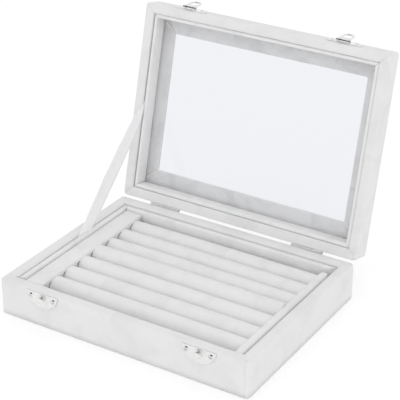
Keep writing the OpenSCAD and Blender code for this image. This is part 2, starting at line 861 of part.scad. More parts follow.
module lid_liner_right() {
    color(velvet) at_lid() translate([0, 0, lid_z]) mirror([1, 0, 0]) {
        left_run(lid_inner_w, lid_inner_d, lid_liner_t, lid_h) lid_liner_section(0);
    }
}

// Latches on the lid

// A cylinder along the latch axis, at x from the middle of a latch
module latch_round(x, length, r) {
    translate([x, latch_y, latch_z]) rotate([0, 90, 0]) cylinder(r = r, h = length);
}

// The latch plate: a half-moon above the axis, with a knuckle at each end of the barrel
module latch_plate() {
    color(metal) difference() {
        union() {
            translate([0, 0, 2 * latch_z]) mirror([0, 0, 1]) half_moon(latch_z);
            for (x = [-latch_barrel_len / 2, latch_barrel_len / 2 - latch_side]) {
                latch_round(x, latch_side, latch_barrel_r);
                translate([x, latch_y, latch_z]) cube([latch_side, latch_out - plate_t / 2, latch_barrel_r]);
            }
        }
        latch_round(-latch_mid / 2 - knuckle_gap, latch_mid + 2 * knuckle_gap, latch_barrel_r + knuckle_gap);
        latch_round(-latch_barrel_len / 2 - cut, latch_barrel_len + 2 * cut, latch_pin_r + pin_play);
        at_plate_screws(latch_z + plate_screw_h) screw_hole();
    }
}

module latch_left_plate() { at_lid() translate([-latch_x, 0, 0]) latch_plate(); }
module latch_right_plate() { at_lid() translate([latch_x, 0, 0]) latch_plate(); }

// A pin with a low head beyond each end of the barrel
module latch_pin() {
    head_r = (latch_pin_r + latch_barrel_r) / 2;
    color(metal) {
        latch_round(-latch_barrel_len / 2 - pin_head_t, latch_barrel_len + 2 * pin_head_t, latch_pin_r);
        latch_round(-latch_barrel_len / 2 - pin_head_t - pin_play, pin_head_t, head_r);
        latch_round(latch_barrel_len / 2 + pin_play, pin_head_t, head_r);
    }
}

module latch_left_pin() { at_lid() translate([-latch_x, 0, 0]) latch_pin(); }
module latch_right_pin() { at_lid() translate([latch_x, 0, 0]) latch_pin(); }
module latch_screws() { color(metal) at_lid() at_latch_screws() screw(screw_head_r, screw_head_h); }

// The tongue, hanging down from an axis at the origin: a loop with a bent lip at its end
module tongue_hanging() {
    color(metal) difference() {
        union() {
            translate([-latch_mid / 2, 0, 0]) rotate([0, 90, 0]) cylinder(r = latch_barrel_r, h = latch_mid);
            translate([-latch_mid / 2, -tongue_t / 2, -tongue_shoulder - cut]) {
                cube([latch_mid, tongue_t, tongue_shoulder + cut]);
            }
            translate([-tongue_r, -tongue_t / 2, -tongue_reach]) {
                cube([2 * tongue_r, tongue_t, tongue_reach - tongue_shoulder]);
            }
            translate([0, tongue_t / 2, -tongue_reach]) rotate([90, 0, 0]) {
                cylinder(r = tongue_r, h = tongue_t, $fn = 96);
            }
            translate([0, 0, tongue_t / 2 - tongue_reach - tongue_r]) rotate([-lip_bend, 0, 0]) {
                translate([-lip_w / 2, -tongue_t / 2, -lip_len]) {
                    cube([lip_w, tongue_t, lip_len + tongue_t / 2]);
                }
            }
        }
        translate([0, tongue_t, -tongue_reach]) rotate([90, 0, 0]) {
            cylinder(r = tongue_hole_r, h = 2 * tongue_t, $fn = 96);
        }
        translate([-latch_mid, 0, 0]) rotate([0, 90, 0]) {
            cylinder(r = latch_pin_r + pin_play, h = 2 * latch_mid);
        }
    }
}

module latch_tongue(x) {
    at_lid() translate([x, latch_y, latch_z]) rotate([-tongue_open, 0, 0]) tongue_hanging();
}

module latch_left_tongue() { latch_tongue(-latch_x); }
module latch_right_tongue() { latch_tongue(latch_x); }

base_bottom_cover();
base_floor_board();
base_front_board();
base_back_board();
base_left_board();
base_right_board();
base_velvet_wrap();
base_liner_front();
base_liner_back();
base_liner_left();
base_liner_right();
roll_pad_board();
tray_rail_left();
tray_rail_right();
for (i = [1:roll_count]) ring_roll(i - 1);
for (i = [1:roll_count]) roll_core(i - 1);
hinge_left_base_leaf();
hinge_right_base_leaf();
hinge_left_pin();
hinge_right_pin();
hinge_base_screws();
catch_left();
catch_right();
catch_screws();
stay_ribbon();
lid_front_board();
lid_back_board();
lid_left_board();
lid_right_board();
lid_window_frame();
lid_velvet_wrap();
lid_glass();
lid_liner_front();
lid_liner_back();
lid_liner_left();
lid_liner_right();
hinge_left_lid_leaf();
hinge_right_lid_leaf();
hinge_lid_screws();
latch_left_plate();
latch_right_plate();
latch_left_pin();
latch_right_pin();
latch_screws();
latch_left_tongue();
latch_right_tongue();
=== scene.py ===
import json
from math import cos, pi, radians, sin

import bmesh
import bpy
from mathutils import Matrix, Vector, noise


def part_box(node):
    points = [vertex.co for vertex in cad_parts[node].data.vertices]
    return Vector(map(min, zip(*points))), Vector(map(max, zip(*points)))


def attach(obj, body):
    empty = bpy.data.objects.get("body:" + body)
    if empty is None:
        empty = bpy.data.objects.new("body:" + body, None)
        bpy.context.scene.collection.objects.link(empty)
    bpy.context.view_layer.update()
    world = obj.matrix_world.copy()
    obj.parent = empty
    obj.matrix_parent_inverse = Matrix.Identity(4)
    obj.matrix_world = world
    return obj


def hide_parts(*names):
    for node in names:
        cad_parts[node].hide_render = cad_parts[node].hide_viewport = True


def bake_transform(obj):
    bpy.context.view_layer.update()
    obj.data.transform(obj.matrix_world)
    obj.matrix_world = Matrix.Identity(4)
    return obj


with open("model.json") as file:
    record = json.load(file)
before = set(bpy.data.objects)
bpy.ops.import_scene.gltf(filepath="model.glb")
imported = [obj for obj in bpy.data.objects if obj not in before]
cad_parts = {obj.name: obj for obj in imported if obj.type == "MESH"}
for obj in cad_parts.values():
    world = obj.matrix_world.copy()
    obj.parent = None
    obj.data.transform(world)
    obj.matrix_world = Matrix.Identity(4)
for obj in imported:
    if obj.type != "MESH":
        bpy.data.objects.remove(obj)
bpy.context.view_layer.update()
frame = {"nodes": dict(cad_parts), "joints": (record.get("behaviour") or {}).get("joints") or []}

mm = 0.001

# Studio: the open box stands on a white table in front of white, under one big soft lamp and white walls,
# and the camera looks down on it from the front right, as the photograph's does. Two black cards that only
# mirrors see stand for the dark parts of the studio.
camera_place = Vector((463.33, -724.66, 525.63)) * mm
camera_turn, camera_dip, camera_roll = radians(-31.634), radians(-27.183), radians(0.308)
sight = Vector((sin(camera_turn) * cos(camera_dip), cos(camera_turn) * cos(camera_dip), sin(camera_dip)))
level = Vector((cos(camera_turn), -sin(camera_turn), 0))
upright = level.cross(sight)
across = level * cos(camera_roll) + upright * sin(camera_roll)
upright = upright * cos(camera_roll) - level * sin(camera_roll)
camera = bpy.data.objects.new("camera", bpy.data.cameras.new("camera"))
camera.data.lens = 127.25
camera.data.sensor_width = 36
camera.data.clip_start = 0.01
camera_axes = Matrix((across, upright, -sight)).transposed().to_4x4()
camera.matrix_world = Matrix.Translation(camera_place) @ camera_axes
bpy.context.scene.collection.objects.link(camera)
bpy.context.scene.camera = camera
bpy.context.scene.view_settings.view_transform = "Standard"


def seen_or_mirrored(nodes, links):
    """1 where the camera sees the surface straight, in metal or through glass."""
    light_path = nodes.new("ShaderNodeLightPath")
    either = nodes.new("ShaderNodeMath")
    either.operation = "MAXIMUM"
    links.new(light_path.outputs["Is Camera Ray"], either.inputs[0])
    links.new(light_path.outputs["Is Glossy Ray"], either.inputs[1])
    any_of_three = nodes.new("ShaderNodeMath")
    any_of_three.operation = "MAXIMUM"
    links.new(either.outputs[0], any_of_three.inputs[0])
    links.new(light_path.outputs["Is Transmission Ray"], any_of_three.inputs[1])
    return any_of_three.outputs[0]


room_light = 0.98
world = bpy.data.worlds.new("white_room")
bpy.context.scene.world = world
world.use_nodes = True
room = world.node_tree
room.nodes.clear()
room_out = room.nodes.new("ShaderNodeOutputWorld")
room_mix = room.nodes.new("ShaderNodeMixShader")
room_glow = room.nodes.new("ShaderNodeBackground")
room_glow.inputs["Strength"].default_value = room_light
room_white = room.nodes.new("ShaderNodeBackground")
room_white.inputs["Strength"].default_value = 1.0
for glow in (room_glow, room_white):
    glow.inputs["Color"].default_value = (1, 1, 1, 1)
room.links.new(seen_or_mirrored(room.nodes, room.links), room_mix.inputs[0])
room.links.new(room_glow.outputs[0], room_mix.inputs[1])
room.links.new(room_white.outputs[0], room_mix.inputs[2])
room.links.new(room_mix.outputs[0], room_out.inputs["Surface"])

lamp = bpy.data.objects.new("softbox", bpy.data.lights.new("softbox", "AREA"))
lamp.data.shape = "DISK"
lamp.data.size = 1.3
lamp.data.energy = 1.2
lamp.location = (0.6, -0.95, 0.85)
lamp.rotation_euler = (Vector((0, 0.02, 0.05)) - lamp.location).to_track_quat("-Z", "Y").to_euler()
bpy.context.scene.collection.objects.link(lamp)

black_paint = bpy.data.materials.new("black_card")
black_paint.use_nodes = True
card_shader = black_paint.node_tree.nodes["Principled BSDF"]
card_shader.inputs["Base Color"].default_value = (0.02, 0.02, 0.02, 1)
card_shader.inputs["Roughness"].default_value = 1.0
card_shader.inputs["Specular IOR Level"].default_value = 0.0
for name, stand, wide, tall in (("card_in_front", (0.05, -1.15, 0.72), 1.9, 0.75),
                                ("card_on_left", (-0.60, -0.42, 0.86), 0.85, 0.75)):
    card_cut = bmesh.new()
    bmesh.ops.create_grid(card_cut, x_segments=1, y_segments=1, size=0.5)
    bmesh.ops.scale(card_cut, vec=(wide, tall, 1), verts=card_cut.verts)
    card_mesh = bpy.data.meshes.new(name)
    card_cut.to_mesh(card_mesh)
    card_cut.free()
    card_mesh.materials.append(black_paint)
    card = bpy.data.objects.new(name, card_mesh)
    card.location = stand
    card.rotation_euler = card.location.to_track_quat("Z", "Y").to_euler()
    card.visible_camera = card.visible_diffuse = card.visible_transmission = card.visible_shadow = False
    bpy.context.scene.collection.objects.link(card)

table_paint = bpy.data.materials.new("table_white")
table_paint.use_nodes = True
paint = table_paint.node_tree.nodes["Principled BSDF"]
paint.inputs["Roughness"].default_value = 1.0
paint.inputs["Specular IOR Level"].default_value = 0.0
paint.inputs["Emission Color"].default_value = (1, 1, 1, 1)
seen = seen_or_mirrored(table_paint.node_tree.nodes, table_paint.node_tree.links)
for label, unseen_value, seen_value in (("Base Color", 0.9, 0.5), ("Emission Strength", 0.12, 0.53)):
    level_mix = table_paint.node_tree.nodes.new("ShaderNodeMapRange")
    level_mix.inputs["To Min"].default_value = unseen_value
    level_mix.inputs["To Max"].default_value = seen_value
    table_paint.node_tree.links.new(seen, level_mix.inputs["Value"])
    table_paint.node_tree.links.new(level_mix.outputs["Result"], paint.inputs[label])
table_cut = bmesh.new()
bmesh.ops.create_circle(table_cut, cap_ends=True, segments=64, radius=6)
table_mesh = bpy.data.meshes.new("table")
table_cut.to_mesh(table_mesh)
table_cut.free()
table_mesh.materials.append(table_paint)
table = bpy.data.objects.new("table", table_mesh)
bpy.context.scene.collection.objects.link(table)

# Base boards: four fibreboard walls, the floor board and the thin cover glued under it. They are sawn
# and glued up first, and the velvet hides all but the cover, which shows from below.


def new_finish(name, roughness):
    """An empty material for one finish: (material, its nodes, its links, its surface shader)."""
    finish = bpy.data.materials.new(name)
    finish.use_nodes = True
    nodes, links = finish.node_tree.nodes, finish.node_tree.links
    surface = nodes["Principled BSDF"]
    surface.inputs["Roughness"].default_value = roughness
    return finish, nodes, links, surface


def new_group(name, inputs, outputs):
    """A node group for one effect: (group, its nodes, its links, its inputs, its outputs)."""
    group = bpy.data.node_groups.new(name, "ShaderNodeTree")
    for label, kind, value in inputs:
        socket = group.interface.new_socket(name=label, in_out="INPUT", socket_type="NodeSocket" + kind)
        socket.default_value = value
    for label, kind in outputs:
        group.interface.new_socket(name=label, in_out="OUTPUT", socket_type="NodeSocket" + kind)
    taken = group.nodes.new("NodeGroupInput")
    given = group.nodes.new("NodeGroupOutput")
    return group, group.nodes, group.links, taken.outputs, given.inputs


def add_noise(nodes, links, place, scale, detail=3.0, roughness=0.5, distortion=0.0):
    """A noise pattern of that scale at that place: the socket of its value."""
    pattern = nodes.new("ShaderNodeTexNoise")
    for label, value in (("Scale", scale), ("Detail", detail), ("Roughness", roughness),
                         ("Distortion", distortion)):
        if isinstance(value, bpy.types.NodeSocket):
            links.new(value, pattern.inputs[label])
        else:
            pattern.inputs[label].default_value = value
    links.new(place, pattern.inputs["Vector"])
    return pattern.outputs["Fac"]


def add_math(nodes, links, operation, a, b, limit=False):
    """One sum of two sockets or numbers: the socket of its value."""
    sum_node = nodes.new("ShaderNodeMath")
    sum_node.operation = operation
    sum_node.use_clamp = limit
    for slot_no, value in enumerate((a, b)):
        if isinstance(value, bpy.types.NodeSocket):
            links.new(value, sum_node.inputs[slot_no])
        else:
            sum_node.inputs[slot_no].default_value = value
    return sum_node.outputs[0]


def add_range(nodes, links, value, low, high, to_low=0.0, to_high=1.0):
    """A value stretched from low..high to to_low..to_high, and kept between them."""
    stretch = nodes.new("ShaderNodeMapRange")
    stretch.interpolation_type = "SMOOTHSTEP"
    for label, number in (("From Min", low), ("From Max", high), ("To Min", to_low), ("To Max", to_high)):
        stretch.inputs[label].default_value = number
    links.new(value, stretch.inputs["Value"])
    return stretch.outputs["Result"]


def add_mix(nodes, links, share, a, b):
    """Colour a, with that share of colour b: the socket of the colour."""
    blend = nodes.new("ShaderNodeMix")
    blend.data_type = "RGBA"
    links.new(share, blend.inputs["Factor"])
    for label, value in (("A", a), ("B", b)):
        end = next(s for s in blend.inputs if s.name == label and s.type == "RGBA")
        if isinstance(value, bpy.types.NodeSocket):
            links.new(value, end)
        else:
            end.default_value = (*value, 1)
    return next(s for s in blend.outputs if s.type == "RGBA")


def add_bump(nodes, links, surface, height, depth, strength=1.0):
    """Lets a height pattern of that depth shade the surface."""
    bump = nodes.new("ShaderNodeBump")
    bump.inputs["Distance"].default_value = depth
    bump.inputs["Strength"].default_value = strength
    links.new(height, bump.inputs["Height"])
    links.new(bump.outputs["Normal"], surface.inputs["Normal"])


def dress(node, finish):
    """Gives a CAD node its finish."""
    node.data.materials.clear()
    node.data.materials.append(finish)


fibreboard, nodes, links, surface = new_finish("fibreboard", 0.85)
place = nodes.new("ShaderNodeTexCoord").outputs["Object"]
chips = add_noise(nodes, links, place, 900, 4, 0.65)
clouds = add_noise(nodes, links, place, 70, 2)
tone = add_math(nodes, links, "ADD", add_math(nodes, links, "MULTIPLY", chips, 0.65),
                add_math(nodes, links, "MULTIPLY", clouds, 0.35))
colour = add_mix(nodes, links, add_range(nodes, links, tone, 0.35, 0.65),
                 (0.42, 0.30, 0.19), (0.62, 0.49, 0.34))
links.new(colour, surface.inputs["Base Color"])
add_bump(nodes, links, surface, chips, 0.12 * mm)
for name in ("base_front_board", "base_back_board", "base_left_board", "base_right_board",
             "base_floor_board"):
    dress(frame["nodes"][name], fibreboard)

# Velvet cover of the base: one cloth glued round all four walls, over the rim and down inside. Its two
# ends meet in a fine seam beside the front right corner.
nap_group, nodes, links, given, put = new_group(
    "nap",
    [("Place", "Vector", (0, 0, 0)), ("Colour", "Color", (0.8, 0.8, 0.8, 1)),
     ("Brushed", "Color", (0.7, 0.7, 0.7, 1)), ("Pile", "Float", 2400.0), ("Patches", "Float", 45.0)],
    [("Colour", "Color"), ("Height", "Float")],
)
pile = add_noise(nodes, links, given["Place"], given["Pile"], 2, 0.6)
tuft_scale = add_math(nodes, links, "MULTIPLY", given["Pile"], 0.22)
tufts = add_noise(nodes, links, given["Place"], tuft_scale, 2, 0.5)
patches = add_noise(nodes, links, given["Place"], given["Patches"], 3, 0.55, 0.8)
brushed = add_range(nodes, links, patches, 0.42, 0.68, 0.0, 0.75)
grain = add_range(nodes, links, pile, 0.3, 0.7, 0.0, 0.25)
share = add_math(nodes, links, "ADD", brushed, grain, True)
links.new(add_mix(nodes, links, share, given["Colour"], given["Brushed"]), put["Colour"])
height = add_math(nodes, links, "ADD", add_math(nodes, links, "MULTIPLY", pile, 0.55),
                  add_math(nodes, links, "MULTIPLY", tufts, 0.45))
links.new(height, put["Height"])


def velvet_finish(name, colour, brushed, patches):
    """White velvet, whose pile lies one way here and another way there."""
    finish, nodes, links, surface = new_finish(name, 0.95)
    surface.inputs["Specular IOR Level"].default_value = 0.12
    surface.inputs["Sheen Weight"].default_value = 0.05
    surface.inputs["Sheen Roughness"].default_value = 0.45
    nap = nodes.new("ShaderNodeGroup")
    nap.node_tree = nap_group
    nap.inputs["Colour"].default_value = (*colour, 1)
    nap.inputs["Brushed"].default_value = (*brushed, 1)
    nap.inputs["Patches"].default_value = patches
    links.new(nodes.new("ShaderNodeTexCoord").outputs["Object"], nap.inputs["Place"])
    links.new(nap.outputs["Colour"], surface.inputs["Base Color"])
    add_bump(nodes, links, surface, nap.outputs["Height"], 0.16 * mm, 0.8)
    return finish


same_place = 1e-6
weld = 1e-7


def cut_plane(bm, spot, square, drop=False):
    """Cuts a mesh along a plane through spot, and drops what lies beyond it when asked."""
    bmesh.ops.bisect_plane(bm, geom=bm.verts[:] + bm.edges[:] + bm.faces[:], dist=weld,
                           plane_co=spot, plane_no=square, clear_outer=drop)


def only_verts(geom):
    """The corners among the parts that an operator gives back."""
    return [v for v in geom if isinstance(v, bmesh.types.BMVert)]


def at_height(edge, height):
    """Whether an edge lies level at that height."""
    return all(abs(v.co.z - height) < same_place for v in edge.verts)


def cut_cells(bm, cell):
    """Cuts a mesh into cells along X, Y and Z, fine enough for cloth that isn't quite flat."""
    corners = [v.co for v in bm.verts]
    for axis in range(3):
        low, high = min(c[axis] for c in corners), max(c[axis] for c in corners)
        count = int((high - low) / cell)
        for step in range(1, count):
            spot, square = Vector((0, 0, 0)), Vector((0, 0, 0))
            spot[axis], square[axis] = low + (high - low) * step / count, 1
            cut_plane(bm, spot, square)


def lay_by_hand(bm, amount, wave):
    """Cloth glued by hand: it lies up to that amount below its true face, in waves of that length."""
    bm.normal_update()
    for vert in bm.verts:
        dip = 0.5 + 0.5 * noise.noise(vert.co / wave)
        vert.co -= vert.normal * amount * dip


def press_line(bm, spot, square, near, reach, width, depth):
    """Presses a fine line into the cloth, along the plane through spot, within reach of near."""
    for side in (-width, 0, width):
        cut_plane(bm, spot + square * side, square)
    bm.normal_update()
    for vert in bm.verts:
        if abs((vert.co - spot).dot(square)) < width / 4 and (vert.co - near).length < reach:
            vert.co -= vert.normal * depth


def make_piece(name, bm, finish, body, sharp=35):
    """Makes the finished mesh an object that rides on its body."""
    mesh = bpy.data.meshes.new(name)
    bm.to_mesh(mesh)
    bm.free()
    mesh.polygons.foreach_set("use_smooth", [True] * len(mesh.polygons))
    mesh.set_sharp_from_angle(angle=radians(sharp))
    mesh.materials.append(finish)
    piece = bpy.data.objects.new(name, mesh)
    bpy.context.scene.collection.objects.link(piece)
    if body:
        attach(piece, body)
    return piece


def give_thickness(piece, thickness):
    """Gives a sheet its thickness, towards the board that it covers."""
    solid = piece.modifiers.new("thickness", "SOLIDIFY")
    solid.thickness = thickness
    solid.offset = -1
    return piece


def box_mesh(low, high):
    """A plain block between two corners, to be shaped further."""
    bm = bmesh.new()
    bmesh.ops.create_cube(bm, size=1)
    bmesh.ops.scale(bm, vec=high - low, verts=bm.verts)
    bmesh.ops.translate(bm, vec=(low + high) / 2, verts=bm.verts)
    return bm


def face_towards(bm, direction):
    """The face of a plain block that looks that way."""
    bm.normal_update()
    return max(bm.faces, key=lambda face: face.normal.dot(Vector(direction)))


def soften(bm, edges, radius, segments=5):
    """Rounds those edges."""
    bmesh.ops.bevel(bm, geom=edges, offset=radius, affect="EDGES", segments=segments, profile=0.5,
                    material=-1, clamp_overlap=True)


def soften_rim(bm, edges, height):
    """Rounds a cover's edges, less so on the back outer edge at that height, where the hinges are."""
    def behind(edge):
        return at_height(edge, height) and all(v.co.y > base_high.y - same_place for v in edge.verts)

    soften(bm, [e for e in edges if not behind(e)], rim_r)
    soften(bm, [e for e in bm.edges if behind(e)], back_rim_r)


wall_velvet = velvet_finish("wall_velvet", (0.79, 0.79, 0.788), (0.735, 0.735, 0.735), 42)
base_low, base_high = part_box("base_velvet_wrap")
pad_low, pad_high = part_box("roll_pad_board")
base_wall = 8.5 * mm
corner_r, corner_steps = 2.5 * mm, 6
rim_r = 1.4 * mm
back_rim_r = 0.7 * mm
velvet_t = 0.7 * mm
bm = box_mesh(base_low, base_high)
upright_edges = [e for e in bm.edges if abs(e.verts[0].co.z - e.verts[1].co.z) > mm]
top = face_towards(bm, (0, 0, 1))
bmesh.ops.inset_region(bm, faces=[top], thickness=base_wall, use_even_offset=True)
well = bmesh.ops.extrude_face_region(bm, geom=[top])["geom"]
bmesh.ops.delete(bm, geom=[top], context="FACES")
bmesh.ops.translate(bm, vec=(0, 0, pad_low.z - base_high.z), verts=only_verts(well))
bmesh.ops.recalc_face_normals(bm, faces=bm.faces)
soften(bm, upright_edges, corner_r, corner_steps)
rims = [e for e in bm.edges if at_height(e, base_high.z) and any(abs(f.normal.z) < 0.1 for f in e.link_faces)]
soften_rim(bm, rims, base_high.z)
bm.normal_update()
hidden = [f for f in bm.faces if abs(f.normal.z) > 0.9 and f.calc_center_median().z < pad_low.z + mm]
bmesh.ops.delete(bm, geom=hidden, context="FACES")
cloth_cell = 4 * mm
cut_cells(bm, cloth_cell)
seam_x, seam_middle_z, seam_reach = base_high.x - 3 * mm, 14 * mm, 14.5 * mm
seam_w = seam_depth = 0.35 * mm
press_line(bm, Vector((seam_x, base_low.y, 0)), Vector((1, 0, 0)),
           Vector((seam_x, base_low.y, seam_middle_z)), seam_reach, seam_w, seam_depth)
lay_by_hand(bm, 0.22 * mm, 26 * mm)
base_velvet = make_piece("base_velvet_cover", bm, wall_velvet, "base", 60)
give_thickness(base_velvet, velvet_t)
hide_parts("base_velvet_wrap")
dress(frame["nodes"]["base_bottom_cover"], wall_velvet)

# Base liners: four velvet-covered strips glued inside the walls. The left and back ones stand off their
# walls by a narrow groove and just below the rim, the front and right ones lie lower and close to them.


def soft_strip(low, high, top_r, edge_r, mitres, cell, wobble, wave):
    """A covered strip: its long top edges are rounded and its ends are cut along the corners' mitres.
    Each mitre is (a point on it, the direction that is cut away)."""
    bm = box_mesh(low, high)
    for spot, away in mitres:
        cut_plane(bm, spot, away.normalized(), drop=True)
        bmesh.ops.holes_fill(bm, edges=[e for e in bm.edges if e.is_boundary])
    bmesh.ops.recalc_face_normals(bm, faces=bm.faces)
    top_edges = [e for e in bm.edges if at_height(e, high.z) and e.calc_length() > 30 * mm]
    soften(bm, top_edges, top_r, 4)
    bm.normal_update()
    ends = [e for e in bm.edges if len(e.link_faces) == 2 and e.calc_face_angle(0) > radians(35)
            and e.calc_length() < 30 * mm]
    soften(bm, ends, edge_r, 2)
    cut_cells(bm, cell)
    lay_by_hand(bm, wobble, wave)
    return bm


liner_velvet = velvet_finish("liner_velvet", (0.815, 0.815, 0.813), (0.75, 0.75, 0.75), 60)
liner_top_r, liner_edge_r = 1.15 * mm, 0.35 * mm
liner_wobble, liner_wave = 0.12 * mm, 18 * mm
liner_left_more, liner_back_more = 0.6 * mm, 1.0 * mm
well_x, well_y = base_high.x - base_wall, base_high.y - base_wall
for name in ("base_liner_left", "base_liner_right", "base_liner_front", "base_liner_back"):
    low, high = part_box(name)
    if name == "base_liner_left":
        low.x -= liner_left_more
    if name == "base_liner_back":
        high.y += liner_back_more
    middle = (low + high) / 2
    if high.x - low.x < high.y - low.y:
        out = 1 if middle.x > 0 else -1
        mitres = [(Vector((out * well_x, side * well_y, 0)), Vector((-out, side, 0))) for side in (1, -1)]
    else:
        out = 1 if middle.y > 0 else -1
        mitres = [(Vector((side * well_x, out * well_y, 0)), Vector((side, -out, 0))) for side in (1, -1)]
    bm = soft_strip(low, high, liner_top_r, liner_edge_r, mitres, cloth_cell, liner_wobble, liner_wave)
    liner = make_piece(name.replace("liner", "liner_strip"), bm, liner_velvet, "base", 60)
    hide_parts(name)

# Pad board and rails: a velvet-covered board on the floor carries the rolls, a broad flat rail stands at
# their left ends and a narrow one, whose back end is rounded, at their right ends.
bm = soft_strip(pad_low, pad_high, 0.6 * mm, 0.4 * mm, [], 8 * mm, 0.05 * mm, 30 * mm)
pad = make_piece("pad_board_cover", bm, liner_velvet, "base", 60)
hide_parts("roll_pad_board")
rail_r, rail_left_more, rail_right_end_r = 1.0 * mm, 0.7 * mm, 2.7 * mm
rail_lip, rail_lip_t, rail_lip_back = 0.8 * mm, 2.6 * mm, 0.9 * mm
for name in ("tray_rail_left", "tray_rail_right"):
    low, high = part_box(name)
    if name == "tray_rail_left":
        low.x -= rail_left_more
        high.x += rail_lip
    bm = box_mesh(low, high)
    if name == "tray_rail_left":
        for depth in (rail_lip_t, rail_lip_t + 0.2 * mm):
            cut_plane(bm, (0, 0, high.z - depth), (0, 0, 1))
        for vert in bm.verts:
            if vert.co.x > high.x - mm and vert.co.z < high.z - rail_lip_t - 0.1 * mm:
                vert.co.x -= rail_lip_back
    if name == "tray_rail_right":
        back_edges = [e for e in bm.edges if abs(e.verts[0].co.z - e.verts[1].co.z) > mm
                      and e.verts[0].co.y > high.y - mm]
        soften(bm, back_edges, rail_right_end_r, 6)
    soften(bm, [e for e in bm.edges if at_height(e, high.z)], rail_r, 4)
    cut_cells(bm, cloth_cell)
    lay_by_hand(bm, 0.15 * mm, 20 * mm)
    rail = make_piece(name + "_cover", bm, liner_velvet, "base", 60)
    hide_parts(name)

# Ring rolls: seven bars of foam, each rolled into velvet whose ends are tucked in. The middle roll is
# fatter and the rear three are slimmer. The cover is blown up a little, as the foam fills it.
foam, nodes, links, surface = new_finish("open_foam", 0.95)
place = nodes.new("ShaderNodeTexCoord").outputs["Object"]
cells = nodes.new("ShaderNodeTexVoronoi")
cells.inputs["Scale"].default_value = 1700
links.new(place, cells.inputs["Vector"])
pit_depth_and_shade = add_range(nodes, links, cells.outputs["Distance"], 0.1, 0.55)
# The pits are darker: painted shade in the foam's hollows. The same pattern also sinks them as a bump.
links.new(add_mix(nodes, links, pit_depth_and_shade, (0.62, 0.58, 0.47), (0.86, 0.83, 0.73)), surface.inputs["Base Color"])
add_bump(nodes, links, surface, pit_depth_and_shade, 0.25 * mm)
roll_velvet = velvet_finish("roll_velvet", (0.80, 0.80, 0.798), (0.75, 0.75, 0.75), 55)
roll_taper = 0.25 * mm
roll_end_r = 0.7 * mm
tuck_r = 3 * mm
tuck_depth = 0.75 * mm
swell_room = 0.45 * mm
blow_frames = 20


def blow_up(piece, cap, pressure=4.0):
    """Blows a closed cover up, as its filling does, and keeps every point within cap of its place."""
    start = [v.co.copy() for v in piece.data.vertices]
    cloth = piece.modifiers.new("blow", "CLOTH")
    cloth.settings.quality = 4
    cloth.settings.mass = 0.15
    cloth.settings.tension_stiffness = 12
    cloth.settings.compression_stiffness = 12
    cloth.settings.shear_stiffness = 4
    cloth.settings.bending_stiffness = 0.3
    cloth.settings.use_pressure = True
    cloth.settings.uniform_pressure_force = pressure
    cloth.settings.effector_weights.gravity = 0
    cloth.point_cache.frame_start = 1
    cloth.point_cache.frame_end = blow_frames
    scene = bpy.context.scene
    for frame_no in range(1, blow_frames + 1):
        scene.frame_set(frame_no)
    blown = piece.evaluated_get(bpy.context.evaluated_depsgraph_get()).to_mesh()
    moved = [v.co.copy() for v in blown.vertices]
    piece.modifiers.remove(cloth)
    scene.frame_set(1)
    for vert, old, new in zip(piece.data.vertices, start, moved):
        step = new - old
        vert.co = old + step * min(1, cap / max(step.length, 1e-9))


for number in range(1, 8):
    name = f"ring_roll_{number}"
    low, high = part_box(name)
    radius = (high.y - low.y) / 2
    middle = Vector(((low.x + high.x) / 2, (low.y + high.y) / 2, high.z - radius))
    half = (high.x - low.x) / 2
    slim = radius - swell_room
    end_r = slim - roll_taper
    bm = bmesh.new()
    outline = [Vector((-half, 0, 0)), Vector((-half, 0, tuck_r))]
    outline += [Vector((-half + roll_end_r * (1 - cos(a)), 0, end_r - roll_end_r * (1 - sin(a))))
                for a in (radians(d) for d in range(10, 90, 16))]
    end_points = len(outline)
    steps = 60
    outline += [Vector((t * (half - roll_end_r), 0, slim - roll_taper * t * t))
                for t in (k / steps * 2 - 1 for k in range(steps + 1))]
    outline += [Vector((-p.x, p.y, p.z)) for p in reversed(outline[:end_points])]
    chain = [bm.verts.new(p + middle) for p in outline]
    for a, b in zip(chain, chain[1:]):
        bm.edges.new((a, b))
    bmesh.ops.spin(bm, geom=bm.verts[:] + bm.edges[:], cent=middle, axis=(1, 0, 0), angle=2 * pi, steps=40,
                   use_merge=True)
    bmesh.ops.remove_doubles(bm, verts=bm.verts, dist=0.02 * mm)
    bmesh.ops.recalc_face_normals(bm, faces=bm.faces)
    roll = make_piece(name + "_cover", bm, roll_velvet, None, 70)
    blow_up(roll, swell_room)
    bm = bmesh.new()
    bm.from_mesh(roll.data)
    for vert in bm.verts:
        arm = Vector((0, vert.co.y - middle.y, vert.co.z - middle.z))
        t = min(1, abs(vert.co.x - middle.x) / (half - roll_end_r))
        full = radius - roll_taper * t * t
        hump = noise.noise(Vector((vert.co.x / (26 * mm), number * 3.7, arm.y / (9 * mm))))
        wave = 1 - 0.022 * (0.5 + 0.5 * hump)
        if arm.length > tuck_r:
            grow = (arm.length + swell_room * 0.5) * wave
            arm = arm.normalized() * min(full * wave, grow)
        vert.co.y, vert.co.z = middle.y + arm.y, max(middle.z + arm.z, low.z + 0.02 * mm)
        vert.co.x = min(max(vert.co.x, low.x), high.x)
    caps = [f for f in bm.faces if all((Vector((0, v.co.y, v.co.z)) - Vector((0, middle.y, middle.z))).length
                                       < tuck_r * 1.02 for v in f.verts)]
    bmesh.ops.delete(bm, geom=caps, context="FACES")
    mouths = [e for e in bm.edges if e.is_boundary]
    for vert in only_verts(bmesh.ops.extrude_edge_only(bm, edges=mouths)["geom"]):
        vert.co.x += tuck_depth if vert.co.x < middle.x else -tuck_depth
    bm.to_mesh(roll.data)
    bm.free()
    finer = roll.modifiers.new("finer", "SUBSURF")
    finer.levels = finer.render_levels = 1
    give_thickness(roll, 0.5 * mm)
    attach(roll, "base")
    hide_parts(name)
    dress(frame["nodes"][f"roll_core_{number}"], foam)

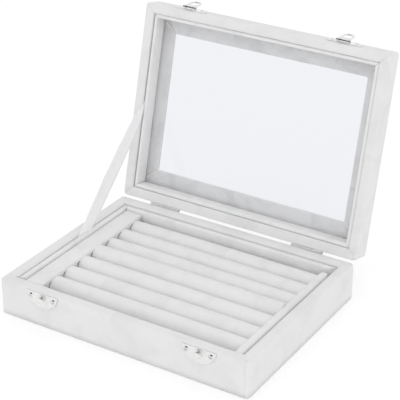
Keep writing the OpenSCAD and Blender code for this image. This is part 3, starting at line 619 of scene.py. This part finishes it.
# Hinges: two small butt hinges of nickel-plated steel, screwed to the back of the base and of the lid.
# Only their barrels show from the front, in the gap between the two.
plate_group, nodes, links, given, put = new_group(
    "plating",
    [("Place", "Vector", (0, 0, 0)), ("Colour", "Color", (0.8, 0.8, 0.8, 1)),
     ("Dull", "Color", (0.5, 0.5, 0.5, 1)), ("Polish", "Float", 0.12)],
    [("Colour", "Color"), ("Roughness", "Float"), ("Height", "Float")],
)
smears = add_noise(nodes, links, given["Place"], 260, 3, 0.6, 0.6)
scratches = nodes.new("ShaderNodeMapping")
scratches.inputs["Scale"].default_value = (900, 5200, 5200)
links.new(given["Place"], scratches.inputs["Vector"])
fine = add_noise(nodes, links, scratches.outputs["Vector"], 1, 2, 0.5)
wear = add_range(nodes, links, smears, 0.5, 0.8, 0.0, 0.5)
links.new(add_mix(nodes, links, wear, given["Colour"], given["Dull"]), put["Colour"])
rough = add_math(nodes, links, "ADD", given["Polish"], add_math(nodes, links, "MULTIPLY", smears, 0.16))
links.new(rough, put["Roughness"])
links.new(fine, put["Height"])


def metal_finish(name, colour, dull, polish):
    """Bright nickel plate on steel, a little dull where fingers touch it."""
    finish, nodes, links, surface = new_finish(name, polish)
    surface.inputs["Metallic"].default_value = 1.0
    plating = nodes.new("ShaderNodeGroup")
    plating.node_tree = plate_group
    plating.inputs["Colour"].default_value = (*colour, 1)
    plating.inputs["Dull"].default_value = (*dull, 1)
    plating.inputs["Polish"].default_value = polish
    links.new(nodes.new("ShaderNodeTexCoord").outputs["Object"], plating.inputs["Place"])
    links.new(plating.outputs["Colour"], surface.inputs["Base Color"])
    links.new(plating.outputs["Roughness"], surface.inputs["Roughness"])
    add_bump(nodes, links, surface, plating.outputs["Height"], 0.004 * mm, 0.5)
    return finish


nickel = metal_finish("nickel_plate", (0.79, 0.79, 0.785), (0.64, 0.64, 0.64), 0.08)
hinge_nickel = metal_finish("hinge_nickel", (0.92, 0.92, 0.915), (0.80, 0.80, 0.80), 0.48)
catch_nickel = metal_finish("catch_nickel", (0.82, 0.82, 0.815), (0.68, 0.68, 0.68), 0.2)
pin_steel = metal_finish("pin_steel", (0.50, 0.50, 0.50), (0.30, 0.30, 0.30), 0.22)
for name in ("hinge_left_base_leaf", "hinge_right_base_leaf", "hinge_left_lid_leaf", "hinge_right_lid_leaf",
             "hinge_base_screws", "hinge_lid_screws"):
    dress(frame["nodes"][name], hinge_nickel)
for name in ("hinge_left_pin", "hinge_right_pin"):
    dress(frame["nodes"][name], pin_steel)

# Catches: two half-moon plates stamped from nickel-plated steel, each with a turned knob riveted to its
# middle and held to the front of the base by two domed screws. The latch tongue drops over the knob.
plate_t = 0.8 * mm
plate_edge_r = 0.3 * mm
knob_drop = 4.2 * mm
knob_profile = [(0, 2.6), (1.2, 2.52), (2.0, 2.35), (2.4, 2.15), (2.5, 1.95), (2.3, 1.7), (1.95, 1.55),
                (1.85, 1.3), (1.85, 0.35), (2.1, 0.12), (2.5, 0.1), (2.85, 0.3), (3.3, 0.38), (3.65, 0.25),
                (3.8, 0.0), (3.8, -0.3)]


def half_moon(middle_x, straight_z, low_z, back_y, width):
    """A plate with a straight edge at the height straight_z and a round one that ends at low_z."""
    tall = straight_z - low_z
    bow = ((width / 2) ** 2 + tall ** 2) / (2 * tall)
    bm = bmesh.new()
    bmesh.ops.create_circle(bm, cap_ends=True, segments=128, radius=bow)
    bmesh.ops.rotate(bm, verts=bm.verts, cent=(0, 0, 0), matrix=Matrix.Rotation(pi / 2, 3, "X"))
    bmesh.ops.translate(bm, verts=bm.verts, vec=(middle_x, back_y, low_z + bow))
    cut_plane(bm, (0, 0, straight_z), (0, 0, 1), drop=True)
    skin = bmesh.ops.extrude_face_region(bm, geom=bm.faces[:])["geom"]
    bmesh.ops.translate(bm, verts=only_verts(skin), vec=(0, -plate_t, 0))
    bmesh.ops.recalc_face_normals(bm, faces=bm.faces)
    bm.normal_update()
    front_edges = [e for e in bm.edges if all(abs(v.co.y - back_y + plate_t) < same_place for v in e.verts)
                   and e.calc_face_angle(0) > 1 and not at_height(e, straight_z)]
    soften(bm, front_edges, plate_edge_r, 3)
    return bm


def turned(bm, profile, foot, axis):
    """A turned part: its profile, in millimetres from its axis and up from its foot, spun right round."""
    old = set(bm.verts)
    chain = [bm.verts.new((r * mm, 0, h * mm)) for r, h in profile]
    edges = [bm.edges.new(pair) for pair in zip(chain, chain[1:])]
    bmesh.ops.spin(bm, geom=chain + edges, cent=(0, 0, 0), axis=(0, 0, 1), angle=2 * pi, steps=40,
                   use_merge=True)
    new = [v for v in bm.verts if v not in old]
    bmesh.ops.remove_doubles(bm, verts=new, dist=0.001 * mm)
    new = [v for v in bm.verts if v not in old]
    bmesh.ops.recalc_face_normals(bm, faces=list({f for v in new for f in v.link_faces}))
    tip_over = Vector((0, 0, 1)).rotation_difference(Vector(axis)).to_matrix()
    bmesh.ops.rotate(bm, verts=new, cent=(0, 0, 0), matrix=tip_over)
    bmesh.ops.translate(bm, verts=new, vec=foot)


for side in ("left", "right"):
    low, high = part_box(f"catch_{side}")
    middle_x = (low.x + high.x) / 2
    bm = half_moon(middle_x, high.z, low.z, base_low.y, high.x - low.x)
    turned(bm, knob_profile, Vector((middle_x, base_low.y - plate_t, high.z - knob_drop)), (0, -1, 0))
    catch = make_piece(f"catch_{side}_plate", bm, catch_nickel, "base", 40)
    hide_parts(f"catch_{side}")
dress(frame["nodes"]["catch_screws"], nickel)

# Lid boards: four thinner fibreboard walls and a flat frame glued on them, which leaves the window open.
for name in ("lid_front_board", "lid_back_board", "lid_left_board", "lid_right_board"):
    dress(frame["nodes"][name], fibreboard)
hinge = next(j for j in frame["joints"] if j["name"] == "lid_hinge")
hinge_place = Vector(hinge["pos_m"])
opened = Matrix.Rotation(-radians(hinge["range_deg"][1]), 4, "X")
open_lid = Matrix.Translation(hinge_place) @ opened @ Matrix.Translation(-hinge_place)
lid_rim = base_high.z + 0.4 * mm
lid_high = 17 * mm
lid_wall = 7.5 * mm
frame_depth = 14.8 * mm
window_x, window_y = 80.2 * mm, 53.4 * mm
lid_low_corner = Vector((base_low.x, base_low.y, lid_rim))
lid_high_corner = Vector((base_high.x, base_high.y, lid_rim + lid_high))


def shape_window(bm, face):
    """Draws the window's outline on that face."""
    bmesh.ops.inset_region(bm, faces=[face], thickness=10 * mm, use_even_offset=True)
    for vert in face.verts:
        vert.co.x = window_x if vert.co.x > 0 else -window_x
        vert.co.y = window_y if vert.co.y > 0 else -window_y


def lid_piece(name, bm, finish, sharp=60):
    """A piece of the lid: it is shaped on the shut lid and then turned open with it."""
    bmesh.ops.transform(bm, matrix=open_lid, verts=bm.verts)
    return make_piece(name, bm, finish, "lid", sharp)


# Window frame cover: velvet over the flat frame, as the glass shows it from inside. At each corner the
# spare cloth is folded into a slanting pleat.
frame_low = Vector((base_low.x + lid_wall, base_low.y + lid_wall, lid_rim + frame_depth + 0.05 * mm))
frame_high = Vector((base_high.x - lid_wall, base_high.y - lid_wall, lid_high_corner.z - 0.65 * mm))
bm = box_mesh(frame_low, frame_high)
for way in (1, -1):
    shape_window(bm, face_towards(bm, (0, 0, way)))
holes = [f for f in bm.faces if abs(f.normal.z) > 0.9 and abs(f.calc_center_median().x) < mm
         and abs(f.calc_center_median().y) < mm]
mouth_edges = [e for f in holes for e in f.edges]
bmesh.ops.delete(bm, geom=holes, context="FACES_ONLY")
bmesh.ops.bridge_loops(bm, edges=mouth_edges)
bmesh.ops.recalc_face_normals(bm, faces=bm.faces)
window_corners = [e for e in bm.edges if abs(e.verts[0].co.z - e.verts[1].co.z) > mm / 2
                  and abs(e.verts[0].co.x) < window_x + mm]
window_corner_r, window_edge_r = 1.6 * mm, 0.6 * mm
soften(bm, window_corners, window_corner_r, 5)
window_rims = [e for e in bm.edges if abs(e.verts[0].co.z - e.verts[1].co.z) < same_place
               and any(abs(f.normal.z) < 0.1 for f in e.link_faces)
               and all(abs(v.co.x) < window_x + mm and abs(v.co.y) < window_y + mm for v in e.verts)]
soften(bm, window_rims, window_edge_r, 3)
cut_cells(bm, 5 * mm)
pleat_long, pleat_w = 13 * mm, 1.2 * mm
for sx in (-1, 1):
    for sy in (-1, 1):
        corner = Vector((sx * (window_x + 0.5 * mm), sy * (window_y + 0.5 * mm), frame_low.z))
        slant = Vector((sx, sy * 0.85, 0)).normalized()
        square = Vector((-slant.y, slant.x, 0))
        pleat_middle = corner + slant * pleat_long / 2
        press_line(bm, corner, square, pleat_middle, pleat_long / 2, 0.6 * mm, -0.4 * mm)
        press_line(bm, corner + square * pleat_w, square, pleat_middle + square * pleat_w,
                   pleat_long / 2, 0.5 * mm, 0.8 * mm)
# The frame's velvet is the same white velvet painted brighter and warmer: painted light that makes up for the
# light and the blue tint that the glass takes off it.
frame_velvet_painted_brighter = velvet_finish("frame_velvet_painted_brighter", (0.93, 0.915, 0.87), (0.79, 0.777, 0.74), 60)
window_frame = lid_piece("window_frame_cover", bm, frame_velvet_painted_brighter)
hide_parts("lid_window_frame")

# Velvet cover of the lid: one cloth from the window's edge over the top, down the outside, round the rim
# and up the inside, with a pressed mitre at each corner of the rim.
bm = box_mesh(lid_low_corner, lid_high_corner)
upright_edges = [e for e in bm.edges if abs(e.verts[0].co.z - e.verts[1].co.z) > mm]
rim_face = face_towards(bm, (0, 0, -1))
bmesh.ops.inset_region(bm, faces=[rim_face], thickness=lid_wall, use_even_offset=True)
hollow = bmesh.ops.extrude_face_region(bm, geom=[rim_face])["geom"]
bmesh.ops.delete(bm, geom=[rim_face], context="FACES")
bmesh.ops.translate(bm, vec=(0, 0, frame_depth), verts=only_verts(hollow))
hollow_face = next(f for f in hollow if isinstance(f, bmesh.types.BMFace))
top_face = max((f for f in bm.faces if f.normal.z > 0.9), key=lambda f: f.calc_center_median().z)
shape_window(bm, top_face)
bmesh.ops.recalc_face_normals(bm, faces=bm.faces)
bmesh.ops.delete(bm, geom=[hollow_face], context="FACES_ONLY")
window_edges = list(top_face.edges)
bmesh.ops.delete(bm, geom=[top_face], context="FACES_ONLY")
sill = only_verts(bmesh.ops.extrude_edge_only(bm, edges=window_edges)["geom"])
sill_drop = 0.55 * mm
bmesh.ops.translate(bm, vec=(0, 0, -sill_drop), verts=sill)
soften(bm, upright_edges, corner_r, corner_steps)
bm.normal_update()
creases = [e for e in bm.edges if len(e.link_faces) == 2 and e.calc_face_angle(0) > radians(60)]
rims = [e for e in creases if at_height(e, lid_rim)]
tops = [e for e in creases if at_height(e, lid_high_corner.z)
        and (abs(e.verts[0].co.y) > window_y + mm or abs(e.verts[0].co.x) > window_x + mm)]
soften_rim(bm, rims + tops, lid_rim)
cut_cells(bm, cloth_cell)
mitre_w, mitre_depth = 0.35 * mm, 0.32 * mm
for sx in (-1, 1):
    for sy in (-1, 1):
        corner = Vector((sx * (base_high.x - lid_wall / 2), sy * (base_high.y - lid_wall / 2), lid_rim))
        across_mitre = Vector((sx, -sy, 0)).normalized()
        press_line(bm, corner, across_mitre, corner, lid_wall * 0.75, mitre_w, mitre_depth)
lay_by_hand(bm, 0.22 * mm, 24 * mm)
lid_velvet = lid_piece("lid_velvet_cover", bm, wall_velvet)
give_thickness(lid_velvet, 0.5 * mm)
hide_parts("lid_velvet_wrap")

# Glass: one clear pane that lies on the window frame, under the liner strips.
glass, nodes, links, surface = new_finish("clear_glass", 0.0)
surface.inputs["Base Color"].default_value = (0.858, 0.866, 0.895, 1)
surface.inputs["Transmission Weight"].default_value = 1.0
surface.inputs["IOR"].default_value = 1.45
place = nodes.new("ShaderNodeTexCoord").outputs["Object"]
haze = add_range(nodes, links, add_noise(nodes, links, place, 35, 4, 0.6, 0.5), 0.45, 0.85, 0.0, 0.06)
links.new(haze, surface.inputs["Roughness"])
light_path = nodes.new("ShaderNodeLightPath")
passing = add_math(nodes, links, "MAXIMUM", light_path.outputs["Is Shadow Ray"],
                   light_path.outputs["Is Diffuse Ray"])
clear = nodes.new("ShaderNodeBsdfTransparent")
clear.inputs["Color"].default_value = (0.93, 0.935, 0.95, 1)
either = nodes.new("ShaderNodeMixShader")
links.new(passing, either.inputs[0])
links.new(surface.outputs["BSDF"], either.inputs[1])
links.new(clear.outputs["BSDF"], either.inputs[2])
links.new(either.outputs[0], nodes["Material Output"].inputs["Surface"])
dress(frame["nodes"]["lid_glass"], glass)

# Lid liners: four velvet-covered strips glued inside the lid's walls, which hold the glass down on the
# frame. The left one stands off its wall by a narrow groove, where the ribbon is tucked in.
lid_inner_x, lid_inner_y = base_high.x - lid_wall, base_high.y - lid_wall
liner_t = 3 * mm
strip_low, strip_high = lid_rim + 1.5 * mm, lid_rim + 12.7 * mm
ribbon_groove = 0.4 * mm
lid_strips = {
    "front": (Vector((-lid_inner_x, -lid_inner_y, 0)), Vector((lid_inner_x, liner_t - lid_inner_y, 0))),
    "back": (Vector((-lid_inner_x, lid_inner_y - liner_t, 0)), Vector((lid_inner_x, lid_inner_y, 0))),
    "left": (Vector((ribbon_groove - lid_inner_x, -lid_inner_y, 0)),
             Vector((liner_t - lid_inner_x, lid_inner_y, 0))),
    "right": (Vector((lid_inner_x - liner_t, -lid_inner_y, 0)), Vector((lid_inner_x, lid_inner_y, 0))),
}
for side, (low, high) in lid_strips.items():
    low.z, high.z = -strip_high, -strip_low
    mitres = []
    for sx in (-1, 1):
        for sy in (-1, 1):
            corner = Vector((sx * (lid_inner_x - liner_t), sy * (lid_inner_y - liner_t), 0))
            if side in ("front", "back") and sy == (1 if side == "back" else -1):
                mitres.append((corner, Vector((sx, -sy, 0))))
            if side in ("left", "right") and sx == (1 if side == "right" else -1):
                mitres.append((corner, Vector((-sx, sy, 0))))
    bm = soft_strip(low, high, liner_top_r, liner_edge_r, mitres, cloth_cell, liner_wobble, liner_wave)
    bmesh.ops.scale(bm, vec=(1, 1, -1), verts=bm.verts)
    bmesh.ops.reverse_faces(bm, faces=bm.faces)
    strip = lid_piece(f"lid_liner_strip_{side}", bm, liner_velvet)
    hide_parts(f"lid_liner_{side}")

# Latches: on the front of the lid, a half-moon plate with a barrel, and a tongue that swings on the
# barrel's pin and drops its round hole over the catch's knob. In the photograph both are flipped back.
for name in ("latch_left_plate", "latch_right_plate", "latch_screws"):
    dress(frame["nodes"][name], nickel)
for name in ("latch_left_pin", "latch_right_pin"):
    dress(frame["nodes"][name], pin_steel)
barrel_r, knuckle_half = 1.5 * mm, 2.5 * mm
bore_r = 0.65 * mm
tongue_t, hole_r, loop_r = 0.7 * mm, 3.3 * mm, 4.8 * mm
shoulder, hole_down, bend_down = 1.8 * mm, 7.3 * mm, 3.4 * mm
tongue_bend, lip_bend = radians(12), radians(35)
lip_half, lip_long, lip_lap = 2.5 * mm, 2 * mm, 0.3 * mm
edge_round, knuckle_round = 0.18 * mm, 0.15


def tongue_mesh():
    """A latch tongue that hangs down from its pin, which runs along X through the origin."""
    bm = bmesh.new()
    outline = [(-loop_r, -shoulder), (-knuckle_half, -shoulder), (-knuckle_half, -barrel_r / 2),
               (knuckle_half, -barrel_r / 2), (knuckle_half, -shoulder), (loop_r, -shoulder)]
    outline += [(loop_r * cos(a), -hole_down - loop_r * sin(a)) for a in (pi * k / 32 for k in range(33))]
    hole = [(hole_r * cos(a), -hole_down + hole_r * sin(a)) for a in (pi * k / 24 for k in range(48))]
    for points in (outline, hole):
        ring = [bm.verts.new((x, -tongue_t / 2, z)) for x, z in points]
        for a, b in zip(ring, ring[1:] + ring[:1]):
            bm.edges.new((a, b))
    bmesh.ops.triangle_fill(bm, use_beauty=True, edges=bm.edges[:])
    skin = bmesh.ops.extrude_face_region(bm, geom=bm.faces[:])["geom"]
    bmesh.ops.translate(bm, verts=only_verts(skin), vec=(0, tongue_t, 0))
    bmesh.ops.recalc_face_normals(bm, faces=bm.faces)
    bm.normal_update()
    soften(bm, [e for e in bm.edges if len(e.link_faces) == 2 and e.calc_face_angle(0) > radians(80)
                and abs(e.verts[0].co.y - e.verts[1].co.y) < weld], edge_round, 2)
    cut_plane(bm, (0, 0, -bend_down), (0, 0, 1))
    bend, bend_place = Matrix.Rotation(-tongue_bend, 3, "X"), (0, 0, -bend_down)
    bent = [v for v in bm.verts if v.co.z < -bend_down - same_place]
    bmesh.ops.rotate(bm, verts=bent, cent=bend_place, matrix=bend)
    lip = box_mesh(Vector((-lip_half, -tongue_t / 2, -lip_long)), Vector((lip_half, tongue_t / 2, 0.5 * mm)))
    soften(lip, lip.edges[:], 0.2 * mm, 2)
    bmesh.ops.rotate(lip, verts=lip.verts, cent=(0, 0, 0), matrix=Matrix.Rotation(-lip_bend, 3, "X"))
    bmesh.ops.translate(lip, verts=lip.verts, vec=(0, 0, -hole_down - loop_r + lip_lap))
    bmesh.ops.rotate(lip, verts=lip.verts, cent=bend_place, matrix=bend)
    add_mesh(bm, lip)
    knuckle = bmesh.new()
    bore, barrel, wide = bore_r / mm, barrel_r / mm, 2 * knuckle_half / mm
    turned(knuckle, [(bore, 0), (barrel - knuckle_round, 0), (barrel, knuckle_round),
                     (barrel, wide - knuckle_round), (barrel - knuckle_round, wide), (bore, wide), (bore, 0)],
           Vector((-knuckle_half, 0, 0)), (1, 0, 0))
    add_mesh(bm, knuckle)
    return bm


def add_mesh(bm, other):
    """Puts another mesh into this one."""
    carried = bpy.data.meshes.new("carried")
    other.to_mesh(carried)
    other.free()
    bm.from_mesh(carried)
    bpy.data.meshes.remove(carried)


for side in ("left", "right"):
    joint = next(j for j in frame["joints"] if j["name"] == f"latch_{side}_hinge")
    bm = tongue_mesh()
    turn = -radians(hinge["range_deg"][1] + joint["range_deg"][1])
    hang = Matrix.Translation(joint["pos_m"]) @ Matrix.Rotation(turn, 4, "X")
    bmesh.ops.transform(bm, matrix=hang, verts=bm.verts)
    tongue = make_piece(f"latch_{side}_tongue_loop", bm, nickel, f"latch_{side}", 40)
    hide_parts(f"latch_{side}_tongue")

# Ribbon stay: a white satin ribbon, glued into the groove beside the base's left liner and into the one
# in the lid. It is taut and a little twisted while the lid is open.
satin, nodes, links, surface = new_finish("white_satin", 0.38)
surface.inputs["Specular IOR Level"].default_value = 0.8
surface.inputs["Sheen Weight"].default_value = 0.3
cloth_map = nodes.new("ShaderNodeUVMap")
cloth_map.uv_map = "weave"
threads = nodes.new("ShaderNodeTexWave")
threads.bands_direction = "Y"
threads.inputs["Scale"].default_value = 900
threads.inputs["Distortion"].default_value = 1.2
threads.inputs["Detail"].default_value = 1
links.new(cloth_map.outputs["UV"], threads.inputs["Vector"])
runs = add_noise(nodes, links, cloth_map.outputs["UV"], 300, 3, 0.6)
tone = add_math(nodes, links, "ADD", add_math(nodes, links, "MULTIPLY", threads.outputs["Fac"], 0.4),
                add_math(nodes, links, "MULTIPLY", runs, 0.6))
links.new(add_mix(nodes, links, tone, (0.97, 0.97, 0.972), (0.92, 0.92, 0.925)), surface.inputs["Base Color"])
add_bump(nodes, links, surface, tone, 0.04 * mm)
ribbon_w, ribbon_t = 12 * mm, 0.3 * mm
base_fix_x, base_fix_from_hinge, base_fix_below_rim = -91.0 * mm, 61.8 * mm, 1.5 * mm
lid_fix_x, lid_fix_from_hinge = -92.1 * mm, 72.3 * mm
base_end = Vector((base_fix_x, hinge_place.y - base_fix_from_hinge, base_high.z - base_fix_below_rim))
lid_end = open_lid @ Vector((lid_fix_x, hinge_place.y - lid_fix_from_hinge, strip_low))
tuck_base, tuck_lid = 12 * mm, 8 * mm
run = lid_end - base_end
along = run.normalized()
aside = Vector((1, 0, 0))
wide = aside.cross(along).normalized()
length = run.length + tuck_base + tuck_lid
bm = bmesh.new()
bmesh.ops.create_grid(bm, x_segments=12, y_segments=110, size=0.5)
weave = bm.loops.layers.uv.new("weave")
for face in bm.faces:
    for loop in face.loops:
        loop[weave].uv = ((loop.vert.co.x + 0.5) * ribbon_w, (loop.vert.co.y + 0.5) * length)
for vert in bm.verts:
    u, d = vert.co.x, (vert.co.y + 0.5) * length - tuck_base
    t = min(1, max(0, d / run.length))
    arch = sin(pi * t)
    narrow = (1 - 0.1 * t) * (1 - 0.75 * max(0, (t - 0.82) / 0.18) ** 2.2)
    twist = -radians(11) * arch
    cup = 0.35 * mm * arch * (4 * u * u - 1)
    ripple = 0.25 * mm * arch * noise.noise(Vector((u * 2.0, d / (12 * mm), 3.1)))
    offset = ribbon_w * narrow * u
    centre = base_end + along * d + wide * (0.6 * mm * arch)
    vert.co = centre + wide * offset * cos(twist) + aside * (offset * sin(twist) + cup + ripple)
bmesh.ops.recalc_face_normals(bm, faces=bm.faces)
ribbon = make_piece("satin_ribbon", bm, satin, None, 60)
give_thickness(ribbon, ribbon_t).modifiers["thickness"].offset = 0
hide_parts("stay_ribbon")
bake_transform(ribbon)
